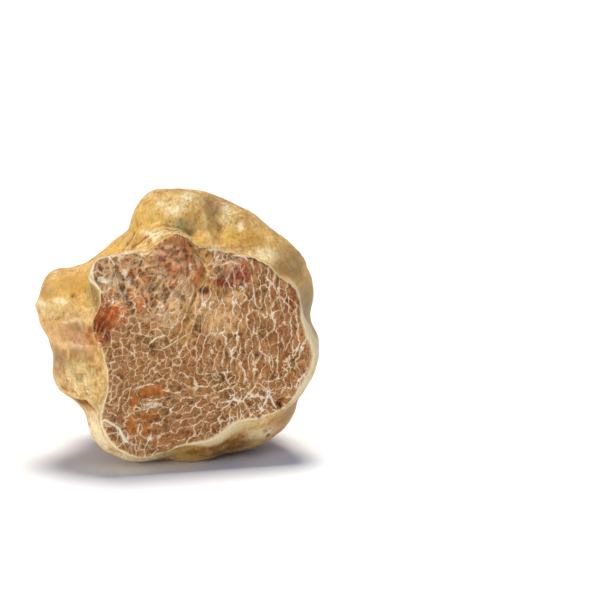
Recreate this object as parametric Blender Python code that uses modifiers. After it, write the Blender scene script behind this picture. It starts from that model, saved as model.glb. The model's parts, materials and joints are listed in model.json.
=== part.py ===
"""A white truffle with a slice cut off its front: one solid, with a flat cut face and a small flat foot.

Z is up and the cut face looks along -Y, turned a little towards +X. The origin is the middle of the flat
foot, on the surface that the truffle rests on. Lengths are in metres.
"""

import math

import bpy
from mathutils import Euler, Vector

MM = 0.001

# Driving dimensions
CUT_CENTRE = Vector((3.6, -13.5, 26.0)) * MM  # a point in the middle of the cut face
CUT_YAW = math.radians(15)  # the cut face is turned this far from -Y towards +X
CUT_LEAN = math.radians(2)  # and looks this far upwards
FOOT_POINT = Vector((0.0, 0.0, 0.0))  # the flat foot passes through here
GRAIN = 1.8 * MM  # cell size in which the lobes are merged
SOFTENING_ROUNDS = 6  # how often the valleys between the lobes are smoothed
BLOCK = 120 * MM  # side of the blocks that make the cuts, larger than the truffle

# The lobes that the truffle grew as: centre and half-sizes, in millimetres.
# Those named face_ lie on the plane of the cut and give the cut face its outline.
LOBES = {
    "heart": ((2.0, 2.0, 28.0), (24.5, 22.5, 25.0)),
    "face_middle": ((0.0, -14.5, 32.0), (14.0, 12.0, 15.0)),
    "face_upper": ((10.0, -12.0, 30.0), (18.8, 12.0, 17.0)),
    "face_lower": ((15.0, -10.5, 23.2), (14.0, 12.0, 11.8)),
    "face_bottom": ((0.5, -14.5, 14.0), (10.0, 12.0, 9.0)),
    "face_low_left": ((-5.7, -16.0, 13.5), (9.6, 12.0, 9.8)),
    "face_left": ((-5.3, -16.0, 25.0), (9.6, 12.0, 13.0)),
    "face_hollow": ((-10.6, -17.5, 32.0), (7.2, 10.0, 5.0)),
    "face_corner": ((-10.4, -17.5, 42.3), (7.8, 10.0, 5.8)),
    "brow": ((-0.7, -14.5, 44.0), (7.0, 8.0, 6.5)),
    "right_shoulder": ((13.2, 4.0, 36.0), (16.0, 15.0, 14.3)),
    "right_belly": ((15.0, -2.0, 22.8), (15.2, 17.0, 13.7)),
    "right_hip": ((9.5, 3.0, 13.3), (16.8, 15.0, 13.6)),
    "crown": ((7.0, 3.0, 43.7), (13.3, 12.0, 12.2)),
    "knob": ((-0.9, -3.0, 50.0), (9.8, 8.5, 9.4)),
    "left_shoulder": ((-10.0, -2.0, 38.0), (11.0, 13.0, 8.3)),
    "left_horn": ((-19.5, -3.0, 33.0), (10.7, 11.5, 9.0)),
    "horn_tip": ((-24.3, -3.0, 37.5), (5.0, 8.0, 4.8)),
    "left_flank": ((-17.0, -2.0, 27.0), (11.0, 14.0, 8.0)),
    "left_bump": ((-17.5, -5.0, 20.0), (9.5, 11.5, 7.3)),
    "left_foot": ((-8.3, -5.0, 11.2), (11.4, 13.5, 11.5)),
    "front_foot": ((3.0, -2.5, 11.2), (14.0, 11.8, 12.0)),
    "back_left": ((-9.0, 12.0, 29.5), (15.0, 13.5, 15.0)),
    "back_right": ((10.5, 13.0, 24.0), (14.0, 12.5, 14.0)),
    "back_top": ((3.5, 10.0, 39.5), (12.5, 12.0, 12.0)),
    "back_low": ((-2.0, 11.0, 13.5), (16.0, 13.0, 13.5)),
    "sole": ((0.5, 3.0, 8.0), (14.5, 14.0, 9.0)),
}


def clear_scene():
    for thing in list(bpy.data.objects):
        bpy.data.objects.remove(thing)


def new_collection(name):
    collection = bpy.data.collections.new(name)
    bpy.context.scene.collection.children.link(collection)
    return collection


def move_to(collection, thing):
    for holder in list(thing.users_collection):
        holder.objects.unlink(thing)
    collection.objects.link(thing)


def add_lobe(centre, half_sizes):
    """One lobe, an ellipsoid."""
    bpy.ops.mesh.primitive_ico_sphere_add(
        subdivisions=4, radius=1, location=Vector(centre) * MM, scale=Vector(half_sizes) * MM
    )
    return bpy.context.object


def join_lobes():
    """All lobes in one object, still as separate overlapping surfaces."""
    lobes = [add_lobe(centre, half_sizes) for centre, half_sizes in LOBES.values()]
    bpy.ops.object.select_all(action="DESELECT")
    for lobe in lobes:
        lobe.select_set(True)
    bpy.context.view_layer.objects.active = lobes[0]
    bpy.ops.object.join()
    bpy.ops.object.transform_apply(location=True, rotation=True, scale=True)
    return bpy.context.object


def merge_and_soften(body):
    """One closed skin over the lobes, with rounded valleys where they meet."""
    merge = body.modifiers.new("merge_lobes", "REMESH")
    merge.mode = "VOXEL"
    merge.voxel_size = GRAIN
    soften = body.modifiers.new("soften_valleys", "SMOOTH")
    soften.factor = 0.5
    soften.iterations = SOFTENING_ROUNDS


def add_cutting_block(name, face_point, rotation, cutters):
    """A block whose top face passes through face_point; it takes away what lies under that face."""
    top_normal = Euler(rotation).to_matrix() @ Vector((0, 0, 1))
    bpy.ops.mesh.primitive_cube_add(
        size=BLOCK, location=face_point - top_normal * BLOCK / 2, rotation=rotation
    )
    block = bpy.context.object
    block.name = name
    block.hide_render = True
    block.display_type = "WIRE"
    move_to(cutters, block)
    return block


def cut_off(body, block):
    cut = body.modifiers.new(block.name, "BOOLEAN")
    cut.operation = "DIFFERENCE"
    cut.object = block


def peridium_material():
    """Peridium, the truffle's thin, dry, ochre skin."""
    peridium = bpy.data.materials.new("peridium")
    peridium.use_nodes = True
    shader = peridium.node_tree.nodes["Principled BSDF"]
    shader.inputs["Base Color"].default_value = (0.62, 0.42, 0.18, 1)
    shader.inputs["Roughness"].default_value = 0.6
    shader.inputs["Metallic"].default_value = 0.0
    return peridium


def build():
    clear_scene()
    truffle_parts = new_collection("white_truffle")
    cutters = new_collection("cutters")

    truffle = join_lobes()
    truffle.name = "truffle"
    truffle.data.materials.append(peridium_material())
    truffle.data.shade_smooth()
    move_to(truffle_parts, truffle)
    merge_and_soften(truffle)

    # The foot block lies under the truffle. The slice block stands in front of it.
    foot_block = add_cutting_block("foot_cut", FOOT_POINT, (0, 0, 0), cutters)
    slice_turn = (-math.pi / 2 - CUT_LEAN, 0, CUT_YAW)
    slice_block = add_cutting_block("slice_cut", CUT_CENTRE, slice_turn, cutters)
    cut_off(truffle, foot_block)
    cut_off(truffle, slice_block)


build()
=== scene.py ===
import json
import math

import bpy
import numpy as np
from mathutils import Matrix, Vector, noise
from mathutils.bvhtree import BVHTree

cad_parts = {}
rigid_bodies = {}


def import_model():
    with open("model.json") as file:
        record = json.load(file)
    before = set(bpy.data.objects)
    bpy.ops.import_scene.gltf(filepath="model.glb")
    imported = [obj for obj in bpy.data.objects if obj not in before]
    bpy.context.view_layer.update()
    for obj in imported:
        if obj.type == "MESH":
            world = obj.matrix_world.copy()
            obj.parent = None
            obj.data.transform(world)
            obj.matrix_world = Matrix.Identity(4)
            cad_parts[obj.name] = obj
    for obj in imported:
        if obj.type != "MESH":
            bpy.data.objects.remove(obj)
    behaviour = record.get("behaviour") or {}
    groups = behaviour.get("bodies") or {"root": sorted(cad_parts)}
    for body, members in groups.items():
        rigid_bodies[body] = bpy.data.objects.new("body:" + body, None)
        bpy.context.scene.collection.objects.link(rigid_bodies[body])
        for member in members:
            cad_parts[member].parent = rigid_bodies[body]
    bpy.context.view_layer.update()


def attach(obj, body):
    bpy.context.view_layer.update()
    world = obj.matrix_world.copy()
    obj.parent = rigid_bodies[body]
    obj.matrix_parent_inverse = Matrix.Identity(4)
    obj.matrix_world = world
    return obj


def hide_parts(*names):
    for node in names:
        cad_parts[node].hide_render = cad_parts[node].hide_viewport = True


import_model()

mm = 0.001


def linearColour(hexCode):  # sRGB hex to the linear colour that the nodes expect
    parts = [int(hexCode[i:i + 2], 16) / 255 for i in (1, 3, 5)]
    return tuple(p / 12.92 if p <= 0.04045 else ((p + 0.055) / 1.055) ** 2.4 for p in parts) + (1,)


def addNode(tree, kind, links=None, **settings):  # one node; links holds values or sockets for its inputs
    node = tree.nodes.new("ShaderNode" + kind)
    for name, value in settings.items():
        setattr(node, name, value)
    for place, value in (links or {}).items():
        if isinstance(value, bpy.types.NodeSocket):
            tree.links.new(value, node.inputs[place])
        else:
            node.inputs[place].default_value = value
    return node.outputs


def pickOnly(piece):
    bpy.ops.object.select_all(action="DESELECT")
    piece.select_set(True)
    bpy.context.view_layer.objects.active = piece


def pickFaces(piece, chosen):  # selects the faces for which chosen is true, and leaves edit mode on
    pickOnly(piece)
    bpy.ops.object.mode_set(mode="EDIT")
    bpy.ops.mesh.select_all(action="DESELECT")
    bpy.ops.mesh.select_mode(type="FACE")
    bpy.ops.object.mode_set(mode="OBJECT")
    for face, isChosen in zip(piece.data.polygons, chosen):
        face.select = bool(isChosen)
    bpy.ops.object.mode_set(mode="EDIT")


def addModifier(piece, kind, **settings):  # adds a modifier and applies it at once
    pickOnly(piece)
    modifier = piece.modifiers.new(kind.lower(), kind)
    for name, value in settings.items():
        setattr(modifier, name, value)
    bpy.ops.object.modifier_apply(modifier=modifier.name)


def readVertices(piece, what="co"):  # "co" for the places, "normal" for the normals; a row for each vertex
    numbers = np.zeros(len(piece.data.vertices) * 3)
    piece.data.vertices.foreach_get(what, numbers)
    return numbers.reshape(-1, 3)


def writePoints(piece, points):
    piece.data.vertices.foreach_set("co", np.asarray(points, np.float32).ravel())
    piece.data.update()


stored = {}  # attributes that the material reads, each with the output of its node


def addAttribute(piece, name, values):  # one number, or one vector, for each vertex
    values = np.asarray(values, np.float32)
    isVector = values.ndim == 2
    attribute = piece.data.attributes.new(name, "FLOAT_VECTOR" if isVector else "FLOAT", "POINT")
    attribute.data.foreach_set("vector" if isVector else "value", values.ravel())
    stored[name] = "Vector" if isVector else "Fac"


def lumps(points, size, seed):  # smooth noise, about -1 to 1, with lumps of the given size
    shift = Vector((seed, 2.3 * seed, -1.7 * seed))
    return np.array([noise.noise(Vector(p) / size + shift) for p in points])


def wander(points, reach, size, seeds):  # a smooth shift of each point, with one seed for each axis
    return reach * np.column_stack([lumps(points, size, seed) for seed in seeds])


def cells(points, size, seed):  # 0 on the border between two cells, about 1 in a cell's middle
    shift = Vector((seed, 2.3 * seed, -1.7 * seed))
    found = [noise.voronoi(Vector(p) / size + shift)[0] for p in points]
    return np.array([distances[1] - distances[0] for distances in found])


def ease(value, low, high):  # 0 at low, 1 at high, smooth between; low may be the larger
    share = np.clip((value - low) / (high - low), 0, 1)
    return share * share * (3 - 2 * share)


def bell(away, halfWidth, power=2):  # 1 at 0, falling off smoothly; a higher power has a flatter top
    return np.exp(-(away / halfWidth) ** power)


def distanceToLine(points, corners):  # from each point to a broken line, in 2D or 3D
    corners = np.asarray(corners, float)
    nearest = np.full(len(points), 1e9)
    for start, end in zip(corners[:-1], corners[1:]):
        run = end - start
        share = np.clip((points - start) @ run / (run @ run), 0, 1)
        nearest = np.minimum(nearest, np.linalg.norm(points - start - share[:, None] * run, axis=1))
    return nearest


def blot(points, centre, radius, turn=0):  # soft round spot, 1 in its middle; one radius, or one per axis
    away = points - np.asarray(centre, float)
    if turn:
        cosine, sine = math.cos(math.radians(turn)), math.sin(math.radians(turn))
        away = away @ np.array(((cosine, -sine), (sine, cosine)))
    return np.exp(-((away / np.asarray(radius, float)) ** 2).sum(axis=1))


def blots(points, spots):  # several spots, each given as centre, radius and, in 2D, turn
    return np.max([blot(points, *spot) for spot in spots], axis=0)


# camera, light and floor
studio = {
    "aim": (26.1, 0.0, 34.2),  # mm, off to the right of the truffle, so that it stands left of centre
    "elevation": 12,  # degrees
    "distance": 600,  # mm
    "lens": 168,  # mm
    "sensor": 36,  # mm
    "floorSize": 12,  # m
    "paper": "#FAFAFA",
    "skyStrength": 0.26,
    "skyColour": "#80B6FF",
    "lamps": {  # direction that it comes from, strength, angular size in degrees, colour
        "topLight": ((0.03, 0.16, 1.0), 3.4, 24, "#FFF8EC"),
        "frontLight": ((-0.7, -0.8, 0.17), 2.1, 30, "#FAFCFF"),
    },
}


def setUpStudio():
    bpy.context.scene.view_settings.view_transform = "Standard"
    tilt = math.radians(studio["elevation"])
    aim = Vector(studio["aim"]) * mm
    away = Vector((0, -math.cos(tilt), math.sin(tilt)))
    bpy.ops.object.camera_add(
        location=aim + away * studio["distance"] * mm, rotation=(math.pi / 2 - tilt, 0, 0)
    )
    camera = bpy.context.object
    camera.data.lens = studio["lens"]
    camera.data.sensor_width = studio["sensor"]
    camera.data.clip_start = 0.01
    bpy.context.scene.camera = camera

    sky = bpy.data.worlds.new("softRoom")
    sky.use_nodes = True
    background = sky.node_tree.nodes["Background"]
    background.inputs["Color"].default_value = linearColour(studio["skyColour"])
    background.inputs["Strength"].default_value = studio["skyStrength"]
    bpy.context.scene.world = sky

    for name, (direction, strength, size, colour) in studio["lamps"].items():
        bpy.ops.object.light_add(type="SUN", location=direction)
        lamp = bpy.context.object
        lamp.name = name
        lamp.data.energy = strength
        lamp.data.angle = math.radians(size)
        lamp.data.color = linearColour(colour)[:3]
        lamp.rotation_euler = Vector(direction).to_track_quat("Z", "Y").to_euler()

    bpy.ops.mesh.primitive_plane_add(size=studio["floorSize"], location=(0, 0, 0))
    floor = bpy.context.object
    floor.name = "paperFloor"
    # uncoated paper: no gloss, so the light spreads evenly
    paper = bpy.data.materials.new("matt white paper")
    paper.use_nodes = True
    shader = paper.node_tree.nodes["Principled BSDF"]
    shader.inputs["Base Color"].default_value = linearColour(studio["paper"])
    shader.inputs["Roughness"].default_value = 0.9
    shader.inputs["Specular IOR Level"].default_value = 0.1
    floor.data.materials.append(paper)


setUpStudio()
print("studio ready")

# the truffle's shape; from here on all lengths are in millimetres
shape = {
    "cutCentre": (3.6, -13.5, 26.0),  # a point in the middle of the cut face
    "cutYaw": 15,  # degrees that the cut face is turned from -Y towards +X
    "cutLean": 2,  # degrees that it looks upwards
    "lobeGrain": 1.8,  # cell size in which the lobes are merged
    "softenRounds": 6,
    "meshGrain": 0.48,  # cell size of the finished mesh
    "fineDepth": 1.2,  # how far behind the cut the mesh is twice as fine
    "fineSpot": ((-5.0, 3.0, 24.5), (9, 7, 5)),  # in the cut frame: the folds over the brow are as fine too
    "footDepth": 0.05,  # what lies lower than this is pressed flat on the floor
    "lobes": {  # centre and half-sizes
        "heart": ((2.0, 2.0, 28.0), (24.5, 22.5, 25.0)),
        "faceMiddle": ((0.0, -14.5, 32.0), (14.0, 12.0, 15.0)),
        "faceUpper": ((10.0, -12.0, 30.0), (18.8, 12.0, 17.0)),
        "faceLower": ((15.0, -10.5, 23.2), (14.0, 12.0, 11.8)),
        "faceBottom": ((0.5, -14.5, 14.0), (10.0, 12.0, 9.0)),
        "faceLowLeft": ((-6.9, -16.0, 12.7), (9.7, 12.0, 9.3)),
        "faceLeft": ((-5.3, -16.0, 25.0), (9.6, 12.0, 13.0)),
        "faceHollow": ((-10.6, -17.5, 32.0), (7.2, 10.0, 5.0)),
        "faceCorner": ((-10.4, -17.5, 42.3), (7.8, 10.0, 5.8)),
        "brow": ((-0.7, -14.5, 44.0), (7.0, 8.0, 6.5)),
        "rightShoulder": ((13.2, 4.0, 36.0), (16.0, 15.0, 14.3)),
        "rightBelly": ((15.0, -2.0, 22.8), (15.2, 17.0, 13.7)),
        "rightHip": ((9.5, 3.0, 13.3), (16.8, 15.0, 13.6)),
        "crown": ((7.0, 3.0, 43.7), (13.3, 12.0, 12.2)),
        "knob": ((-0.9, -3.0, 50.0), (9.8, 8.5, 9.4)),
        "leftShoulder": ((-10.0, -2.0, 38.0), (11.0, 13.0, 8.3)),
        "leftHorn": ((-19.5, -3.0, 33.0), (10.7, 11.5, 9.0)),
        "hornTip": ((-24.3, -3.0, 37.5), (5.0, 8.0, 4.8)),
        "leftFlank": ((-17.0, -2.0, 27.0), (11.0, 14.0, 8.0)),
        "leftBump": ((-17.5, -5.0, 20.0), (9.5, 11.5, 7.3)),
        "leftFoot": ((-8.3, -5.0, 11.2), (11.4, 13.5, 11.5)),
        "frontFoot": ((3.0, -2.5, 11.2), (14.0, 11.8, 12.0)),
        "backLeft": ((-9.0, 12.0, 29.5), (15.0, 13.5, 15.0)),
        "backRight": ((10.5, 13.0, 24.0), (14.0, 12.5, 14.0)),
        "backTop": ((3.5, 10.0, 39.5), (12.5, 12.0, 12.0)),
        "backLow": ((-2.0, 11.0, 13.5), (16.0, 13.0, 13.5)),
        "sole": ((0.5, 3.0, 8.0), (14.5, 14.0, 9.0)),
    },
}

# Cut frame: origin at the cut's middle, x across the cut face, y into the flesh, z up the cut face
yaw, lean = math.radians(shape["cutYaw"]), math.radians(shape["cutLean"])
outOfCut = Vector((math.sin(yaw) * math.cos(lean), -math.cos(yaw) * math.cos(lean), math.sin(lean)))
acrossCut = Vector((math.cos(yaw), math.sin(yaw), 0))
upCut = acrossCut.cross(-outOfCut)
toCut = Matrix((acrossCut, -outOfCut, upCut)).to_4x4() @ Matrix.Translation(-Vector(shape["cutCentre"]))
fromCut = toCut.inverted()


def growBody():  # the whole truffle before it was cut
    lobes = []
    for centre, halfSizes in shape["lobes"].values():
        bpy.ops.mesh.primitive_ico_sphere_add(subdivisions=4, radius=1, location=centre, scale=halfSizes)
        lobes.append(bpy.context.object)
    bpy.ops.object.select_all(action="DESELECT")
    for lobe in lobes:
        lobe.select_set(True)
    bpy.context.view_layer.objects.active = lobes[0]
    bpy.ops.object.join()
    body = bpy.context.object
    body.name = "truffle_half"
    bpy.ops.object.transform_apply(location=True, rotation=True, scale=True)
    addModifier(body, "REMESH", mode="VOXEL", voxel_size=shape["lobeGrain"])
    addModifier(body, "SMOOTH", factor=0.5, iterations=shape["softenRounds"])
    addModifier(body, "SUBSURF", levels=2, render_levels=2)
    return body


skinRelief = {
    "lumps": [(9.0, 0.42, 3), (4.0, 0.24, 11), (1.7, 0.08, 23)],  # size, height, seed
    "creases": [(10.0, 0.9, 5), (4.6, 0.35, 17)],  # cell size, depth, seed: the folds between lobules
    "frontFolds": 0.15,  # the front and the right shoulder keep this share of them, the back all
    "backFrom": (0, 10),  # y at which the back begins, and at which its folds are full
    "foldedBump": ((-21, -12, 19), 6),
    # the grainy bump at the lower left: its centre and radii, then its lumps and its cells
    "bump": ((-20.5, -13, 19.5), (6, 7, 5)),
    "bumpLumps": [(0.9, 0.24, 41), (1.4, 0.35, 42), (2.2, 0.6, 43)],
    "bumpCells": (2.8, 0.5, 47),
    "lineWander": (0.7, 3.0, (91, 93, 97)),  # how far the lines stray, over which size, seeds
    "threadWander": (0.4, 1.2, (111, 113, 117)),
    # strands that arch over the brow run beside this line
    "browLine": [(-6.8, -12.9, 46.8), (-4.8, -13.2, 48.4), (-2.8, -13.2, 49.8), (-0.6, -13.2, 50.5),
                 (1.4, -13.0, 50.0), (3.3, -12.9, 48.9), (4.8, -12.6, 48.0)],
    "strandPitch": 0.95,
    "strandHeight": 0.12,
    "strandShift": (0.65, 0, 0),  # per mm from the line: the outer strands lie further left
    "strandReach": (5.2, 2.5),  # distances from the line at which they fade out and are full
    # pale threads on the pink band, as x and z
    "threads": [
        [(-24.6, 32.4), (-23.2, 32.1), (-21.7, 32.7), (-20.2, 33.2), (-18.8, 32.8), (-17.2, 32.6)],
        [(-20.2, 33.2), (-19.7, 32.0), (-19.4, 31.0)],
        [(-24.4, 27.6), (-22.4, 27.9), (-20.2, 27.3), (-18.6, 27.6)],
    ],
    "threadHeight": 0.08,
    # broken lines along the skin: corners, half-width, height (below zero for a crease)
    "lines": [
        # folds that arch over the brow, and the grooves between them
        ([(-11.5, -6.0, 46.0), (-9.5, -6.2, 49.5), (-6.2, -7.8, 52.4), (-3.0, -9.6, 52.6),
          (0.6, -10.4, 51.6)], 0.5, 0.4),
        ([(-10.8, -7.2, 46.6), (-8.8, -7.2, 49.6), (-5.8, -8.7, 52.0), (-2.8, -10.4, 52.0),
          (0.5, -11.1, 51.0)], 0.35, -0.5),
        ([(-10.1, -8.1, 46.9), (-8.2, -8.0, 49.7), (-5.4, -9.4, 51.4), (-2.6, -11.1, 51.3),
          (0.4, -11.8, 50.4), (3.1, -12.5, 49.5)], 0.5, 0.7),
        ([(-9.2, -9.1, 47.5), (-6.8, -9.8, 49.9), (-4.2, -11.0, 50.8), (-1.2, -12.0, 50.4)], 0.35, -0.5),
        ([(-7.7, -10.4, 47.8), (-5.3, -11.5, 49.5), (-3.1, -12.2, 50.3), (-0.5, -12.8, 49.9)], 0.45, 0.5),
        ([(-6.6, -11.8, 47.4), (-4.6, -12.4, 48.6), (-2.6, -13.0, 49.3)], 0.3, -0.35),
        # hollow behind them
        ([(-4.5, -8.9, 52.6), (-1.5, -10.2, 52.4), (1.4, -10.0, 51.6), (3.9, -10.2, 51.0)], 1.3, -1.3),
        # ridge down the right side of the knob, and the groove beyond it
        ([(2.6, -5.5, 58.0), (3.9, -6.6, 56.9), (5.5, -7.0, 54.6), (6.5, -7.6, 52.2),
          (7.2, -9.6, 49.8)], 1.0, 0.7),
        ([(6.5, -4.0, 56.5), (8.5, -5.0, 54.0), (9.5, -7.0, 50.8)], 1.1, -0.35),
        # ridges of the left horn
        ([(-29.7, -3.9, 33.7), (-26.5, -10.7, 35.2), (-24.3, -12.1, 35.1), (-21.0, -13.0, 34.5)], 1.1, 0.45),
        ([(-25.2, -12.0, 33.6), (-21.0, -14.1, 33.2), (-17.5, -15.5, 32.8)], 0.35, 0.25),
        # step from the pink band to the bump below it
        ([(-25.5, -9.8, 25.6), (-21.5, -13.9, 25.3), (-18.0, -15.8, 24.8)], 1.2, -0.3),
        # deep crease under the bump
        ([(-24.0, -9.5, 16.6), (-21.0, -11.5, 15.0), (-19.1, -12.6, 14.2), (-17.1, -14.2, 13.7),
          (-15.3, -15.4, 13.6)], 1.1, -0.9),
        # groove between the lower left lip and the right-hand rim
        ([(-4.5, -14.5, 6.2), (-2.8, -15.6, 5.0), (-0.5, -13.5, 3.0)], 0.6, -0.8),
    ],
    # round swellings and dents: centre, radius, height
    "swells": [
        ((7.5, -1.0, 56.0), 4.0, 1.5), ((15.5, 0.0, 51.5), 6.0, 0.8), ((21.5, -1.0, 47.0), 5.0, 0.9),
        ((-5.0, -4.0, 57.0), 4.0, 0.5), ((29.5, -3.0, 27.0), 7.0, 0.7), ((-24.0, -10.0, 19.0), 5.0, 0.8),
        ((-30.0, -5.0, 33.5), 2.5, 0.1), ((-17.5, -11.0, 7.5), 6.0, 0.5), ((-15.5, -18.3, 45.8), 2.6, 0.9),
        ((0.8, -14.2, 50.2), 2.6, 0.8), ((-17.5, -15.0, 15.9), 1.6, 0.7), ((-17.2, -18.6, 39.4), 2.4, -1.3),
        ((22.6, -8.6, 42.0), 3.6, -1.2), ((26.0, -1.0, 40.0), 5.0, 0.5), ((5.9, -12.9, 47.2), 0.9, -0.9),
        ((8.4, -12.4, 48.4), 2.0, 0.9), ((-5.3, -15.1, 47.6), 1.8, -1.5), ((-11.9, -16.6, 46.4), 0.8, -0.7),
        ((-9.6, -16.0, 47.4), 1.5, 0.4), ((2.5, -15.0, 5.6), 3.6, -0.9), ((-22.0, -14.0, 29.3), 3.0, -0.4),
        ((-18.6, -15.8, 19.3), 1.4, -0.1), ((-21.5, -14.0, 22.0), 2.0, 0.4),
    ],
}


def roughenSkin(body):
    points, normals = readVertices(body), readVertices(body, "normal")
    height = sum(amount * lumps(points, size, seed) for size, amount, seed in skinRelief["lumps"])
    front = skinRelief["frontFolds"]
    folded = front + (1 - front) * ease(points[:, 1], *skinRelief["backFrom"])
    folded = np.maximum(folded, 0.6 * blot(points, *skinRelief["foldedBump"]))
    for size, depth, seed in skinRelief["creases"]:
        bent = points + wander(points, size / 5, size / 2, (seed + 1, seed + 2, seed + 3))
        height -= depth * folded * (1 - ease(cells(bent, size, seed), 0, 0.35))
    bump = blot(points, *skinRelief["bump"])
    grains = sum(amount * lumps(points, size, seed) for size, amount, seed in skinRelief["bumpLumps"])
    size, depth, seed = skinRelief["bumpCells"]
    furrows = 1 - ease(cells(points + 0.5 * lumps(points, 1.5, 45)[:, None], size, seed), 0, 0.4)
    height += bump * grains - depth * bump * furrows
    for centre, radius, amount in skinRelief["swells"]:
        height += amount * blot(points, centre, radius)
    writePoints(body, points + normals * height[:, None])


def cutBody(body):  # takes the slice and the foot's underside off, on a grid that lies along the cut
    for point, normal in ((Vector(shape["cutCentre"]), outOfCut), (Vector((0, 0, 0)), Vector((0, 0, -1)))):
        pickOnly(body)
        bpy.ops.object.mode_set(mode="EDIT")
        bpy.ops.mesh.select_all(action="SELECT")
        bpy.ops.mesh.bisect(plane_co=point, plane_no=normal, use_fill=True, clear_outer=True)
        bpy.ops.object.mode_set(mode="OBJECT")
    body.data.transform(toCut)
    addModifier(body, "REMESH", mode="VOXEL", voxel_size=shape["meshGrain"])
    # the cut face and its rim carry the finest detail, so their faces are split once more
    points = readVertices(body)
    isFine = (points[:, 1] < shape["fineDepth"]) | (blot(points, *shape["fineSpot"]) > 0.4)
    pickFaces(body, [all(isFine[corner] for corner in face.vertices) for face in body.data.polygons])
    bpy.ops.mesh.subdivide(number_cuts=1, smoothness=0)
    bpy.ops.object.mode_set(mode="OBJECT")


body = growBody()
roughenSkin(body)
print("whole body:", len(body.data.polygons), "faces")
wholeSkin = BVHTree.FromPolygons([v.co for v in body.data.vertices], [p.vertices for p in body.data.polygons])
cutBody(body)
print("cut:", len(body.data.polygons), "faces")

# where each vertex is: in the cut frame, in the truffle's own frame, and how deep under the skin
placeOnCut = readVertices(body)
onFace = placeOnCut[:, 1] < 0.15
placeOnCut[onFace, 1] = 0
ownPlace = placeOnCut @ np.array(fromCut.to_3x3()).T + np.array(fromCut.translation)
underSkin = np.array([wholeSkin.find_nearest(Vector(p))[3] for p in ownPlace])
normals = readVertices(body, "normal")
across, intoFlesh, up = placeOnCut.T
flat = np.column_stack((across, up))
onPlane = np.column_stack((flat, np.zeros(len(flat))))
isSkin = 1 - ease(underSkin, 0.1, 0.5)
isFlesh = (1 - isSkin) * ease(intoFlesh, 1.5, 0.3)  # 1 on the cut face, fading out at its rim


def skinFolds():  # height of the folds and creases
    bent = ownPlace + wander(ownPlace, *skinRelief["lineWander"])
    uneven = 1 + 0.7 * lumps(ownPlace, 2.5, 99)
    height = sum(amount * bell(distanceToLine(bent, corners), halfWidth)
                 for corners, halfWidth, amount in skinRelief["lines"])
    return np.where(onFace, 0, height * uneven * isSkin)


def browStrands():  # thin strands that arch over the brow, one after the other: -1 in a groove, 1 on a strand
    away = distanceToLine(ownPlace, skinRelief["browLine"])
    shifted = ownPlace + np.outer(away, skinRelief["strandShift"])
    away = distanceToLine(shifted, skinRelief["browLine"])
    away += 0.5 * lumps(ownPlace, 2.4, 87) + 0.15 * lumps(ownPlace, 0.8, 88)
    strength = ease(away, *skinRelief["strandReach"]) * ease(shifted[:, 0], 4.5, 1.5) * isSkin
    strength *= (0.75 + 0.8 * lumps(ownPlace, 1.8, 86)) * ease(normals[:, 0], -0.88, -0.5)
    return np.cos(away * 2 * math.pi / skinRelief["strandPitch"]) * strength * ease(ownPlace[:, 2], 44, 46.5)


def bandThreads():  # thin pale threads across the pink band, 1 on a thread
    bent = (ownPlace + wander(ownPlace, *skinRelief["threadWander"]))[:, [0, 2]]
    away = np.min([distanceToLine(bent, corners) for corners in skinRelief["threads"]], axis=0)
    return ease(away, 0.4, 0) * ease(ownPlace[:, 1], -7, -9) * isSkin


strands, threads = browStrands(), bandThreads()
raised = skinFolds() + skinRelief["strandHeight"] * strands + skinRelief["threadHeight"] * threads
addAttribute(body, "strands", strands)
addAttribute(body, "threads", threads)

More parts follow.
